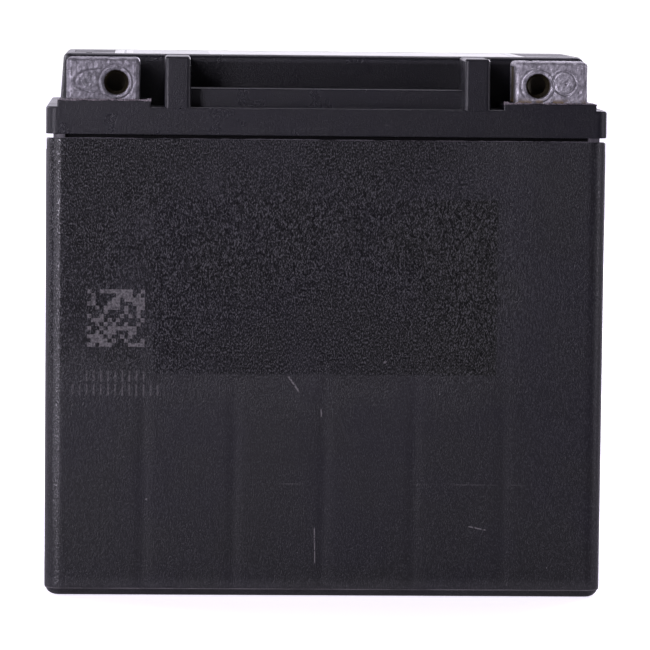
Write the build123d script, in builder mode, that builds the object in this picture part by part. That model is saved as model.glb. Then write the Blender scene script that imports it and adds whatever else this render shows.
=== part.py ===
from build123d import *
import os

os.makedirs("parts", exist_ok=True)

# A 12 V valve-regulated lead-acid motorcycle battery: six cells in a row, in a black
# polypropylene case with a welded lid, two lead terminals with loose square nuts and a
# rubber pressure valve for each cell under one flush cover.
#
# Millimetres. X runs along the width, Y from the terminal side (front) to the back and
# Z up. The origin is the middle of the flat underside.

# ------------------------------------------------------------------ overall size
width = 150.0
depth = 87.0
height = 145.0
front = -depth / 2
back = depth / 2
play = 0.02  # gap between pieces that rest on or are cast against each other
merge = 2.0  # how far a moulded feature runs into the one it grows from

# ------------------------------------------------------------------ case
case_top = 122.8
case_wall = 3.4
case_floor = 3.2
case_corner = 4.5
case_base_radius = 2.8
case_rim_radius = 0.2
case_draft = 0.08
cells = 6
partition = 1.8
cell_corner = 1.5
cell_width = (width - 2 * case_wall - (cells - 1) * partition) / cells
cell_depth = depth - 2 * case_wall
cell_pitch = cell_width + partition
cell_places = [cell_pitch * (i - (cells - 1) / 2) for i in range(cells)]
partition_places = [cell_pitch * (i - (cells - 2) / 2) for i in range(cells - 1)]

# ------------------------------------------------------------------ lid levels
groove_height = 1.1
groove_depth = 2.0
side_step = 3.2
skirt_bottom = case_top + groove_height
flange_top = 131.2
pedestal_top = 133.0
shelf_top = 136.3
rib_top = 144.8
lid_corner = 2.7
lid_wall = 2.6
skirt_foot_radius = 0.15
skirt_edge = 0.4
lower_roof = flange_top - lid_wall

# raised plateau behind the terminals
plateau_front = front + 22.0
plateau_back = back - 2.2
plateau_half_width = 71.7
plateau_corner = 4.0
plateau_draft = 4.0
plateau_edge = 1.4
plateau_depth = plateau_back - plateau_front
plateau_middle = (plateau_front + plateau_back) / 2

# shelf, upright ribs and pedestals in front of the plateau
shelf_front = front + 7.8
shelf_edge = 0.6
rib_place = 40.0
rib_width = 7.3
rib_draft = 1.0
rib_edge = 0.8
rib_corner = 1.2
rib_core = 2.2
pedestal_inner = 47.1
pedestal_outer = 72.0

# blank label that covers most of the plateau
label_length = 112.0
label_shift = -1.0
label_width = 56.4
label_corner = 2.0
label_thickness = 0.15
label_recess = 0.2
label_margin = 0.2

# polarity marks sunk into the plateau, beside the label
mark_place = 64.0
mark_line = -12.0
mark_length = 7.0
mark_stroke = 1.6
mark_depth = 0.3

# ------------------------------------------------------------------ valve wells and cover
cover_length = 136.0
cover_width = 30.0
cover_corner = 4.0
cover_gap = 0.1
cover_edge = 0.3
cover_thickness = 1.8
cover_bottom = height - cover_thickness
channel_ledge = 2.0
channel_floor = 141.0
well_radius = 6.2
well_wall = 1.8
well_floor = 131.5
nozzle_radius = 2.8
nozzle_bore = 1.2
nozzle_top = 139.0
valve_radius = 4.1
valve_skirt = 4.0
valve_roof = 1.5
valve_edge = 0.5
valve_gap = 0.03
valve_lift = 0.6
stop_bottom = nozzle_top + valve_gap + valve_roof + valve_lift + play
filter_radius = 2.5
filter_thickness = 1.6
filter_seat = 0.8
filter_offset_x = 62.3
filter_offset_y = 9.8
vent_radius = 0.9
filter_places = [(side * filter_offset_x, plateau_middle + filter_offset_y) for side in (-1, 1)]

# ------------------------------------------------------------------ terminals
terminal_inner = 50.0
terminal_outer = 69.6
terminal_height = 11.2
terminal_setback = 1.5
terminal_depth = 16.0
terminal_top = pedestal_top + terminal_height
terminal_front = front + terminal_setback
terminal_middle = terminal_front + terminal_depth / 2
terminal_edge = 1.2
bolt_place = 56.4
bolt_radius = 3.3
bolt_level = terminal_top - 6.5
chamber_wall = 2.8
chamber_roof = 1.5
chamber_end = 61.6
chamber_depth = terminal_depth - 2 * chamber_wall
nut_size = 9.8
nut_thickness = 5.0
nut_thread = 2.5
nut_chamfer = 0.6
nut_gap = 0.05
pocket_depth = 0.6
collar_radius = 5.5
collar_bottom = 127.0
post_place = 65.6
post_radius = 3.0
post_foot_radius = 4.5
post_foot_top = 120.0
post_top = 141.5
boss_radius = 8.6
boss_bottom = 124.2
cup_radius = 7.2

# ------------------------------------------------------------------ plate groups
plate_depth = 76.0
plate_top = 102.0
negative_count = 5
negative_thickness = 1.55
negative_bottom = case_floor + 0.6
positive_count = 4
positive_thickness = 2.1
separator_thickness = 0.66
separator_bottom = case_floor + 0.1
separator_depth = 79.0
separator_top = 104.5
positive_bottom = separator_bottom + separator_thickness + play
leaf_gap = 0.03
plate_pitch = positive_thickness + negative_thickness + 2 * (separator_thickness + 2 * leaf_gap)
lug_width = 9.0
lug_place = 28.0
strap_bottom = 108.2
strap_top = 112.7
strap_length = 20.0
strap_width = 13.0
strap_margin = 0.5
riser_thickness = 3.5
riser_top = 121.3
window_radius = 4.0
window_level = 116.8


def save(piece, name):
    """Label a finished piece and write it as its own file."""
    piece.part.label = name
    export_step(piece.part, f"parts/{name}.step")


# ------------------------------------------------------------------ case
# One moulding: four drafted walls, a floor and five partitions, with a round window
# in each partition where two neighbouring cells are welded together.
with BuildPart() as case:
    with BuildSketch(Plane.XY.offset(case_top)):
        RectangleRounded(width, depth, case_corner)
    extrude(amount=-case_top, taper=case_draft)
    fillet(case.faces().sort_by(Axis.Z)[0].edges(), case_base_radius)
    fillet(case.faces().sort_by(Axis.Z)[-1].edges(), case_rim_radius)
    with BuildSketch(Plane.XY.offset(case_floor)):
        with GridLocations(cell_pitch, 0, cells, 1):
            RectangleRounded(cell_width, cell_depth, cell_corner)
    extrude(amount=case_top - case_floor, mode=Mode.SUBTRACT)
    # behind the front wall the outer rim of both sides steps down, which makes the groove
    # under the lid taller there
    with BuildSketch(Plane.XY.offset(case_top - side_step)):
        for side in (-1, 1):
            with Locations((side * width / 2, case_wall)):
                Rectangle(2 * groove_depth, depth)
    extrude(amount=side_step, mode=Mode.SUBTRACT)
    for i, place in enumerate(partition_places):
        window_side = 1 if i % 2 == 0 else -1
        with BuildSketch(Plane.YZ.offset(place - partition)):
            with Locations((window_side * lug_place, window_level)):
                Circle(window_radius)
        extrude(amount=2 * partition, mode=Mode.SUBTRACT)
save(case, "case")

# ------------------------------------------------------------------ lid
# One hollow moulding. Its weld land is inset, so a groove runs around the battery
# between case and lid, and its inner ribs stand on the case's partitions.
with BuildPart() as lid:
    with BuildSketch(Plane.XY.offset(skirt_bottom)):
        RectangleRounded(width, depth, lid_corner)
    extrude(amount=flange_top - skirt_bottom)
    fillet(lid.edges().group_by(Axis.Z)[0], skirt_foot_radius)

    # pedestals under the terminals, flush with the front of the skirt
    with BuildSketch(Plane.XY.offset(flange_top - merge)):
        for side in (-1, 1):
            with Locations(
                (
                    side * (pedestal_inner + pedestal_outer) / 2,
                    (front + plateau_front + merge) / 2,
                )
            ):
                Rectangle(pedestal_outer - pedestal_inner, plateau_front + merge - front)
    extrude(amount=pedestal_top - flange_top + merge)
    pedestal_rims = lid.edges().group_by(Axis.Z)[-1]
    upright_edges = lid.edges().filter_by(Axis.Z)
    pedestal_corners = upright_edges.filter_by_position(Axis.Z, flange_top, pedestal_top)
    pedestal_corners = pedestal_corners.filter_by_position(Axis.Y, front - play, front + play)
    flange_edges = lid.edges().filter_by_position(Axis.Z, flange_top - play, flange_top + play)
    skirt_rim = flange_edges.filter_by(
        lambda edge: abs(edge.center().X) > width / 2 - 1 or abs(edge.center().Y) > back - 1
    )
    fillet(pedestal_rims + pedestal_corners + skirt_rim, skirt_edge)

    # weld land that stands on the case
    with BuildSketch(Plane.XY.offset(case_top)):
        RectangleRounded(width - 2 * groove_depth, depth - 2 * groove_depth, lid_corner)
    extrude(amount=groove_height)

    # shelf between the two upright ribs
    with BuildSketch(Plane.XY.offset(flange_top - merge)):
        with Locations((0, (shelf_front + plateau_front + merge) / 2)):
            Rectangle(2 * rib_place, plateau_front + merge - shelf_front)
    extrude(amount=shelf_top - flange_top + merge)
    shelf_rim = lid.edges().group_by(Axis.Z)[-1].filter_by(Axis.X).sort_by(Axis.Y)[0]
    fillet(shelf_rim, shelf_edge)

    # upright ribs, flush with the front of the lid
    with BuildSketch(Plane.XY.offset(flange_top - merge)):
        for side in (-1, 1):
            with Locations((side * rib_place, (front + plateau_front + merge) / 2)):
                RectangleRounded(rib_width, plateau_front + merge - front, rib_corner)
    extrude(amount=rib_top - flange_top + merge, taper=rib_draft)
    fillet(lid.edges().group_by(Axis.Z)[-1], rib_edge)

    # drafted plateau behind them
    with BuildSketch(Plane.XY.offset(flange_top)):
        with Locations((0, plateau_middle)):
            RectangleRounded(2 * plateau_half_width, plateau_depth, plateau_corner)
    extrude(amount=height - flange_top, taper=plateau_draft)
    fillet(lid.edges().group_by(Axis.Z)[-1], plateau_edge)

    # cell spaces, open downwards
    with BuildSketch(Plane.XY.offset(case_top)):
        with GridLocations(cell_pitch, 0, cells, 1):
            RectangleRounded(cell_width, cell_depth, cell_corner)
    extrude(amount=lower_roof - case_top, mode=Mode.SUBTRACT)
    with BuildSketch(Plane.XY.offset(lower_roof)):
        with Locations((0, plateau_middle)):
            Rectangle(2 * plateau_half_width - 3 * lid_wall, plateau_depth - 2 * lid_wall)
        with Locations(*[(place, plateau_middle) for place in partition_places]):
            Rectangle(partition, plateau_depth, mode=Mode.SUBTRACT)
    extrude(amount=height - lid_wall - lower_roof, mode=Mode.SUBTRACT)
    with BuildSketch(Plane.XY.offset(lower_roof)):
        with Locations((0, (shelf_front + plateau_front) / 2 + lid_wall)):
            Rectangle(2 * (rib_place - rib_width), plateau_front - shelf_front)
        with Locations(*[(place, plateau_front) for place in partition_places]):
            Rectangle(partition, plateau_depth, mode=Mode.SUBTRACT)
    extrude(amount=shelf_top - lid_wall - lower_roof, mode=Mode.SUBTRACT)
    with BuildSketch(Plane.XY.offset(lower_roof)):
        for side in (-1, 1):
            with Locations((side * rib_place, (front + lid_wall + plateau_front) / 2)):
                Rectangle(rib_core, plateau_front - front - lid_wall)
    extrude(amount=rib_top - lid_wall - lower_roof, mode=Mode.SUBTRACT)

    # six valve wells under a shallow gas channel, closed by the flush cover
    with BuildSketch(Plane.XY.offset(channel_floor - lid_wall)):
        with Locations((0, plateau_middle)):
            RectangleRounded(cover_length + merge, cover_width + 2 * lid_wall, cover_corner)
    extrude(amount=height - channel_floor)
    with BuildSketch(Plane.XY.offset(well_floor - well_wall)):
        with Locations((0, plateau_middle)):
            with GridLocations(cell_pitch, 0, cells, 1):
                Circle(well_radius + well_wall)
    extrude(amount=channel_floor - well_floor)
    with BuildSketch(Plane.XY.offset(cover_bottom)):
        with Locations((0, plateau_middle)):
            RectangleRounded(
                cover_length + 2 * cover_gap, cover_width + 2 * cover_gap, cover_corner + cover_gap
            )
    extrude(amount=cover_thickness, mode=Mode.SUBTRACT)
    with BuildSketch(Plane.XY.offset(channel_floor)):
        with Locations((0, plateau_middle)):
            RectangleRounded(
                cover_length - 2 * channel_ledge,
                cover_width - 2 * channel_ledge,
                cover_corner - channel_ledge,
            )
    extrude(amount=cover_bottom - channel_floor, mode=Mode.SUBTRACT)
    with BuildSketch(Plane.XY.offset(well_floor)):
        with Locations((0, plateau_middle)):
            with GridLocations(cell_pitch, 0, cells, 1):
                Circle(well_radius)
    extrude(amount=channel_floor - well_floor, mode=Mode.SUBTRACT)
    with BuildSketch(Plane.XY.offset(well_floor)):
        with Locations((0, plateau_middle)):
            with GridLocations(cell_pitch, 0, cells, 1):
                Circle(nozzle_radius)
    extrude(amount=nozzle_top - well_floor)
    with BuildSketch(Plane.XY.offset(well_floor - well_wall)):
        with Locations((0, plateau_middle)):
            with GridLocations(cell_pitch, 0, cells, 1):
                Circle(nozzle_bore)
    extrude(amount=nozzle_top - well_floor + well_wall, mode=Mode.SUBTRACT)
    # seats for the two gas filters
    with BuildSketch(Plane.XY.offset(channel_floor)):
        with Locations(*filter_places):
            Circle(filter_radius + filter_seat)
            Circle(filter_radius + play, mode=Mode.SUBTRACT)
    extrude(amount=filter_thickness / 2)

    # recess for the label, and the sunk polarity marks
    with BuildSketch(Plane.XY.offset(height - label_recess)):
        with Locations((label_shift, plateau_middle)):
            RectangleRounded(
                label_length + 2 * label_margin,
                label_width + 2 * label_margin,
                label_corner + label_margin,
            )
    extrude(amount=label_recess, mode=Mode.SUBTRACT)
    with BuildSketch(Plane.XY.offset(height - mark_depth)):
        with Locations((-mark_place, mark_line), (mark_place, mark_line)):
            Rectangle(mark_length, mark_stroke)
        with Locations((-mark_place, mark_line)):
            Rectangle(mark_stroke, mark_length)
    extrude(amount=mark_depth, mode=Mode.SUBTRACT)

    # passage for each terminal's collar, with a sealing cup below it
    for side in (-1, 1):
        with BuildSketch(Plane.XY.offset(boss_bottom)):
            with Locations((side * post_place, terminal_middle)):
                Circle(boss_radius)
        extrude(amount=lower_roof - boss_bottom)
        with BuildSketch(Plane.XY.offset(boss_bottom)):
            with Locations((side * post_place, terminal_middle)):
                Circle(cup_radius)
        extrude(amount=collar_bottom - boss_bottom, mode=Mode.SUBTRACT)
        with BuildSketch(Plane.XY.offset(boss_bottom)):
            with Locations((side * post_place, terminal_middle)):
                Circle(collar_radius + play)
        extrude(amount=pedestal_top - boss_bottom, mode=Mode.SUBTRACT)
        # shallow pocket that lets the square nut slide under the terminal
        with BuildSketch(Plane.XY.offset(pedestal_top - pocket_depth)):
            with Locations((side * (pedestal_inner - merge + chamber_end) / 2, terminal_middle)):
                Rectangle(chamber_end - pedestal_inner + merge, chamber_depth)
        extrude(amount=pocket_depth, mode=Mode.SUBTRACT)
save(lid, "lid")

# ------------------------------------------------------------------ valves and cover
with BuildPart() as valve_cover:
    with BuildSketch(Plane.XY.offset(cover_bottom)):
        with Locations((0, plateau_middle)):
            RectangleRounded(cover_length, cover_width, cover_corner)
    extrude(amount=cover_thickness)
    fillet(valve_cover.edges().group_by(Axis.Z)[-1], cover_edge)
    # pins that stop the rubber valves from coming off their nozzles
    with BuildSketch(Plane.XY.offset(stop_bottom)):
        with Locations((0, plateau_middle)):
            with GridLocations(cell_pitch, 0, cells, 1):
                Circle(nozzle_radius)
    extrude(amount=cover_bottom - stop_bottom)
    # vent holes above the filters, and the middle sunk for the label
    with BuildSketch(Plane.XY.offset(cover_bottom)):
        with Locations(*filter_places):
            Circle(vent_radius)
    extrude(amount=cover_thickness, mode=Mode.SUBTRACT)
    with BuildSketch(Plane.XY.offset(height - label_recess)):
        with Locations((label_shift, plateau_middle)):
            Rectangle(label_length + 2 * label_margin, cover_width)
    extrude(amount=label_recess, mode=Mode.SUBTRACT)
save(valve_cover, "valve_cover")

for number, place in enumerate(cell_places, start=1):
    # a round rubber cap that grips the nozzle
    with BuildPart() as safety_valve:
        with BuildSketch(Plane.XZ.offset(-plateau_middle)):
            with BuildLine():
                Polyline(
                    (place, nozzle_top + valve_gap),
                    (place + nozzle_radius + valve_gap, nozzle_top + valve_gap),
                    (place + nozzle_radius + valve_gap, nozzle_top - valve_skirt),
                    (place + valve_radius, nozzle_top - valve_skirt),
                    (place + valve_radius, nozzle_top + valve_gap + valve_roof - valve_edge),
                    (place + valve_radius - valve_edge, nozzle_top + valve_gap + valve_roof),
                    (place, nozzle_top + valve_gap + valve_roof),
                    close=True,
                )
            make_face()
        revolve(axis=Axis((place, plateau_middle, 0), (0, 0, 1)))
    save(safety_valve, f"safety_valve_{number}")

# porous discs that stop a flame from travelling back into the cells
with BuildPart() as gas_filters:
    with BuildSketch(Plane.XY.offset(channel_floor + play)):
        with Locations(*filter_places):
            Circle(filter_radius)
    extrude(amount=filter_thickness)
save(gas_filters, "gas_filters")

# ------------------------------------------------------------------ blank label
with BuildPart() as top_label:
    with BuildSketch(Plane.XY.offset(height - label_recess + play)):
        with Locations((label_shift, plateau_middle)):
            RectangleRounded(label_length, label_width, label_corner)
    extrude(amount=label_thickness)
save(top_label, "top_label")

# ------------------------------------------------------------------ terminals
# Each terminal is a lead block with a chamber for a square nut, open towards the
# battery's middle, and a collar that goes down through the lid around the post.
for side, pole in ((-1, "positive"), (1, "negative")):
    with BuildPart() as terminal:
        with BuildSketch(Plane.XY.offset(pedestal_top + play)):
            with Locations((side * (terminal_inner + terminal_outer) / 2, terminal_middle)):
                Rectangle(terminal_outer - terminal_inner, terminal_depth)
        extrude(amount=terminal_height - play)
        fillet(terminal.edges().filter_by(Axis.Z), terminal_edge)
        fillet(terminal.faces().sort_by(Axis.Z)[-1].edges(), terminal_edge)
        with BuildSketch(Plane.XZ.offset(-terminal_front)):
            with Locations((side * bolt_place, bolt_level)):
                Circle(bolt_radius)
        extrude(amount=-chamber_wall, mode=Mode.SUBTRACT)
        with BuildSketch(Plane.XY.offset(terminal_top)):
            with Locations((side * bolt_place, terminal_middle)):
                Circle(bolt_radius)
        extrude(amount=-chamber_roof, mode=Mode.SUBTRACT)
        with BuildSketch(Plane.XY.offset(collar_bottom + play)):
            with Locations((side * post_place, terminal_middle)):
                Circle(collar_radius)
        extrude(amount=pedestal_top - collar_bottom)
        with BuildSketch(Plane.XY.offset(collar_bottom)):
            with Locations((side * post_place, terminal_middle)):
                Circle(post_radius + play)
        extrude(amount=post_top + play - collar_bottom, mode=Mode.SUBTRACT)
        # the nut chamber reaches down into the lid's pocket
        with BuildSketch(Plane.XY.offset(pedestal_top - pocket_depth)):
            with Locations((side * (terminal_inner - merge + chamber_end) / 2, terminal_middle)):
                Rectangle(chamber_end - terminal_inner + merge, chamber_depth)
        extrude(amount=pocket_depth + terminal_height - chamber_roof, mode=Mode.SUBTRACT)
    save(terminal, f"{pole}_terminal")

    with BuildPart() as nut:
        with BuildSketch(Plane.XZ.offset(-terminal_front - chamber_wall - nut_gap)):
            with Locations((side * bolt_place, bolt_level)):
                Rectangle(nut_size, nut_size)
        extrude(amount=-nut_thickness)
        chamfer(nut.edges().group_by(Axis.Y)[-1], nut_chamfer)
        with BuildSketch(Plane.XZ.offset(-terminal_front - chamber_wall - nut_gap)):
            with Locations((side * bolt_place, bolt_level)):
                Circle(nut_thread)
        extrude(amount=-nut_thickness, mode=Mode.SUBTRACT)
    save(nut, f"{pole}_terminal_nut")

    with BuildPart() as post:
        with BuildSketch(Plane.XY.offset(strap_top + play)):
            with Locations((side * post_place, terminal_middle)):
                Circle(post_foot_radius)
        extrude(amount=post_foot_top - strap_top)
        with BuildSketch(Plane.XY.offset(post_foot_top)):
            with Locations((side * post_place, terminal_middle)):
                Circle(post_radius)
        extrude(amount=post_top - post_foot_top)
    save(post, f"{pole}_post")

    # rubber ring and cast resin that seal the post in the lid's cup
    seal_top = collar_bottom - play
    seal_bottom = (collar_bottom + boss_bottom) / 2
    with BuildPart() as post_seal:
        with BuildSketch(Plane.XY.offset(seal_bottom + play)):
            with Locations((side * post_place, terminal_middle)):
                Circle(cup_radius - play)
                Circle(post_radius + play, mode=Mode.SUBTRACT)
        extrude(amount=seal_top - seal_bottom - play)
    save(post_seal, f"{pole}_post_seal")
    with BuildPart() as resin:
        with BuildSketch(Plane.XY.offset(boss_bottom)):
            with Locations((side * post_place, terminal_middle)):
                Circle(cup_radius - play)
                Circle(post_radius + play, mode=Mode.SUBTRACT)
        extrude(amount=seal_bottom - boss_bottom)
    save(resin, f"{pole}_sealing_resin")


# ------------------------------------------------------------------ plate groups
def plates(place, count, thickness, bottom, lug_y):
    """One polarity's plates in a cell, each with a lug that rises to the strap."""
    with BuildPart() as group:
        with BuildSketch(Plane.XY.offset(bottom)):
            with Locations((place, 0)):
                with GridLocations(plate_pitch, 0, count, 1):
                    Rectangle(thickness, plate_depth)
        extrude(amount=plate_top - bottom)
        with BuildSketch(Plane.XY.offset(plate_top)):
            with Locations((place, lug_y)):
                with GridLocations(plate_pitch, 0, count, 1):
                    Rectangle(thickness, lug_width)
        extrude(amount=strap_bottom - play - plate_top)
    return group


def separators(place):
    """Glass-mat sheets, each folded up around one positive plate and open at the top."""
    inner = positive_thickness + 2 * leaf_gap
    outer = inner + 2 * separator_thickness
    middle = (separator_bottom + separator_top) / 2
    with BuildPart() as group:
        with BuildSketch(Plane.XZ):
            with Locations((place, middle)):
                with GridLocations(plate_pitch, 0, positive_count, 1):
                    Rectangle(outer, separator_top - separator_bottom)
            with Locations((place, middle + separator_thickness)):
                with GridLocations(plate_pitch, 0, positive_count, 1):
                    Rectangle(inner, separator_top - separator_bottom, mode=Mode.SUBTRACT)
        extrude(amount=separator_depth / 2, both=True)
    return group


def strap(place, lug_y, riser_side, at_terminal):
    """Cast bar that joins the lugs, with a riser for the weld to the next cell."""
    strap_front = lug_y - strap_width / 2
    strap_back = lug_y + strap_width / 2
    if at_terminal:
        strap_front = terminal_middle - post_foot_radius - strap_margin
    with BuildPart() as bar:
        with BuildSketch(Plane.XY.offset(strap_bottom)):
            with Locations((place, (strap_front + strap_back) / 2)):
                Rectangle(strap_length, strap_back - strap_front)
        extrude(amount=strap_top - strap_bottom)
        if not at_terminal:
            riser_place = place + riser_side * (cell_width / 2 - play - riser_thickness / 2)
            with BuildSketch(Plane.XY.offset(strap_bottom)):
                with Locations((riser_place, lug_y)):
                    Rectangle(riser_thickness, strap_width)
            extrude(amount=riser_top - strap_bottom)
    return bar


# Cells alternate, so that neighbouring straps of opposite polarity stand on the two
# sides of each partition.
for number, place in enumerate(cell_places, start=1):
    positive_side = -1 if number % 2 == 1 else 1
    positive_group = plates(
        place, positive_count, positive_thickness, positive_bottom, positive_side * lug_place
    )
    save(positive_group, f"cell_{number}_positive_plates")
    negative_group = plates(
        place, negative_count, negative_thickness, negative_bottom, -positive_side * lug_place
    )
    save(negative_group, f"cell_{number}_negative_plates")
    save(separators(place), f"cell_{number}_separators")
    positive_strap = strap(place, positive_side * lug_place, -1, number == 1)
    save(positive_strap, f"cell_{number}_positive_strap")
    negative_strap = strap(place, -positive_side * lug_place, 1, number == cells)
    save(negative_strap, f"cell_{number}_negative_strap")

# lead slugs that fill the partition windows
with BuildPart() as intercell_welds:
    for i, place in enumerate(partition_places):
        window_side = 1 if i % 2 == 0 else -1
        with BuildSketch(Plane.YZ.offset(place - partition / 2)):
            with Locations((window_side * lug_place, window_level)):
                Circle(window_radius - play)
        extrude(amount=partition)
save(intercell_welds, "intercell_welds")
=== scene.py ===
import math
import random
from functools import reduce

import bmesh
import bpy
import numpy as np
from mathutils import Matrix, Vector


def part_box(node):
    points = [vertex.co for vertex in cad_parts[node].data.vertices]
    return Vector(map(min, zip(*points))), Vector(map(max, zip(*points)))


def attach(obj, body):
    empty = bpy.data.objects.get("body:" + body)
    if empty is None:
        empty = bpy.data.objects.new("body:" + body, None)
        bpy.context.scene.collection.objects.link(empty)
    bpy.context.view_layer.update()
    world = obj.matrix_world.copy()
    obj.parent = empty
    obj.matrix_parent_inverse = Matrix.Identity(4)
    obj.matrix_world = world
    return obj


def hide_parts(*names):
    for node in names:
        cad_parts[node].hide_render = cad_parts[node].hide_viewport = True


# The looks of a sealed motorcycle battery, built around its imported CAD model. Lengths in this
# file are millimetres, turned into Blender's metres by MM where a mesh or a node is made.

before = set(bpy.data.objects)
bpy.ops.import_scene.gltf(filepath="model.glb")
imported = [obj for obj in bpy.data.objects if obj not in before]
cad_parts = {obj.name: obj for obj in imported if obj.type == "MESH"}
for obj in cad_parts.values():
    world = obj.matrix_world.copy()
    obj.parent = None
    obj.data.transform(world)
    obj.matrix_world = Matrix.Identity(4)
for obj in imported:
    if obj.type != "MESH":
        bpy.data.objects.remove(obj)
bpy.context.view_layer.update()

MM = 0.001
BODY = "battery"
rng = random.Random(27)
scene = bpy.context.scene


def millimetres(node):
    """Lowest and highest corners of a CAD node, in millimetres."""
    low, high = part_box(node)
    return low / MM, high / MM


case_low, case_high = millimetres("case")
label_low, label_high = millimetres("top_label")
cover_low, cover_high = millimetres("valve_cover")
block_low, block_high = millimetres("positive_terminal")
FRONT = case_low.y
PEDESTAL_TOP = 133.0
SKIRT_BOTTOM = case_high.z + 1.1
STEP_LEVEL = 1.95
BOLT_PLACE = 56.4
BOLT_BELOW_TOP = 6.5


# ---- materials
ARC_TURN = 0.3


class Surface:
    """One procedural material: a Principled shader and short calls that add nodes to it."""

    def __init__(self, name):
        self.material = bpy.data.materials.new(name)
        self.material.use_nodes = True
        self.tree = self.material.node_tree
        self.tree.nodes.clear()
        self.shader = self.node("BsdfPrincipled")
        output = self.node("OutputMaterial")
        self.tree.links.new(self.shader.outputs[0], output.inputs["Surface"])
        metres = self.node("TexCoord").outputs["Object"]
        scaled = self.node("VectorMath", {"operation": "SCALE"}, Vector=metres, Scale=1 / MM)
        self.where = scaled.outputs["Vector"]
        self.x, self.y, self.z = self.node("SeparateXYZ", Vector=self.where).outputs
        facing = self.node("NewGeometry").outputs["Normal"]
        self.face_x, self.face_y, _ = self.node("SeparateXYZ", Vector=facing).outputs

    def feed(self, socket, value):
        """Links a node's output to the socket, or sets a plain value there."""
        if isinstance(value, bpy.types.NodeSocket):
            self.tree.links.new(value, socket)
        else:
            socket.default_value = value

    def node(self, kind, settings=None, **inputs):
        """Adds a node; an underscore in an input's name stands for a space."""
        made = self.tree.nodes.new("ShaderNode" + kind)
        for name, value in (settings or {}).items():
            setattr(made, name, value)
        for name, value in inputs.items():
            self.feed(made.inputs[name.replace("_", " ")], value)
        return made

    def stretched(self, vector, stretch):
        """The vector, divided axis by axis; a pattern looked up there is longer by as much."""
        made = self.node("VectorMath", {"operation": "DIVIDE"}, Vector=vector)
        self.feed(made.inputs[1], stretch)
        return made.outputs["Vector"]

    def math(self, operation, a, b=0.0):
        made = self.node("Math", {"operation": operation})
        self.feed(made.inputs[0], a)
        self.feed(made.inputs[1], b)
        return made.outputs[0]

    def times(self, *values):
        return reduce(lambda a, b: self.math("MULTIPLY", a, b), values)

    def plus(self, *values):
        return reduce(lambda a, b: self.math("ADD", a, b), values)

    def ramp(self, value, low, high, start=0.0, end=1.0):
        """A smooth step from start to end while value goes from low to high."""
        made = self.node("MapRange", {"interpolation_type": "SMOOTHSTEP"})
        for socket, number in zip(made.inputs, (value, low, high, start, end)):
            self.feed(socket, number)
        return made.outputs[0]

    def band(self, value, low, high, soft):
        """1 while value is between low and high, 0 outside, with soft edges."""
        rise = self.ramp(value, low - soft, low + soft)
        return self.times(rise, self.ramp(value, high + soft, high - soft))

    def noise(self, size, detail=2.0, rough=0.5, twist=0.0, stretch=None, seed=0.0, place=None):
        """Cloudy values from 0 to 1, in blobs of about this size in millimetres."""
        place = place or self.where
        made = self.node(
            "TexNoise",
            {"noise_dimensions": "4D"},
            Vector=self.stretched(place, stretch) if stretch else place,
            W=seed,
            Scale=1 / size,
            Detail=detail,
            Roughness=rough,
            Distortion=twist,
        )
        return made.outputs["Fac"]

    def cells(self, size, feature="F1"):
        """Distance from the nearest of many scattered points, this many millimetres apart."""
        made = self.node(
            "TexVoronoi", {"feature": feature}, Vector=self.where, Scale=1 / size
        )
        return made.outputs["Distance"]

    def from_axis(self, x, z):
        """Offsets and distance from a line along Y through this X and Z."""
        across = self.math("SUBTRACT", self.x, x)
        up = self.math("SUBTRACT", self.z, z)
        square = self.plus(self.times(across, across), self.times(up, up))
        return across, up, self.math("SQRT", square)

    def arcs(self, x, z, size, seed):
        """Fine scratches that run round a line along Y, and the distance from that line."""
        across, up, distance = self.from_axis(x, z)
        turn = self.math("ARCTAN2", up, across)
        place = self.node("CombineXYZ", X=distance, Y=self.times(turn, ARC_TURN))
        return self.noise(size, seed=seed, place=place.outputs[0]), distance

    def stroke(self, start, end, width):
        """1 on a thin straight line across the front, from start to end in X and Z."""
        length_x, length_z = end[0] - start[0], end[1] - start[1]
        length = math.hypot(length_x, length_z)
        across = self.math("SUBTRACT", self.x, start[0])
        up = self.math("SUBTRACT", self.z, start[1])
        step_x, step_z = length_x / length, length_z / length
        along = self.plus(self.times(across, step_x), self.times(up, step_z))
        aside = self.plus(self.times(across, step_z), self.times(up, -step_x))
        aside = self.ramp(self.math("ABSOLUTE", aside), width, width / 2)
        return self.times(aside, self.band(along, 0, length, 0.3))

    def blend(self, factor, a, b):
        """Colour a where factor is 0, colour b where it is 1."""
        made = self.node("Mix", {"data_type": "RGBA"})
        self.feed(made.inputs[0], factor)
        self.feed(made.inputs[6], rgba(a))
        self.feed(made.inputs[7], rgba(b))
        return made.outputs[2]

    def bump(self, height, depth):
        """Normal of a surface that rises by depth millimetres where height is 1."""
        made = self.node("Bump", Height=height, Distance=depth * MM)
        return made.outputs["Normal"]

    def finish(self, colour, rough, normal=None, **inputs):
        """Feeds the shader and returns the material."""
        self.feed(self.shader.inputs["Base Color"], rgba(colour))
        self.feed(self.shader.inputs["Roughness"], rough)
        if normal:
            self.feed(self.shader.inputs["Normal"], normal)
        for name, value in inputs.items():
            self.feed(self.shader.inputs[name.replace("_", " ")], value)
        return self.material


def rgba(colour):
    """Adds alpha to a plain colour; a node's output is passed on."""
    return colour if isinstance(colour, bpy.types.NodeSocket) else (*colour, 1.0)


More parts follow.
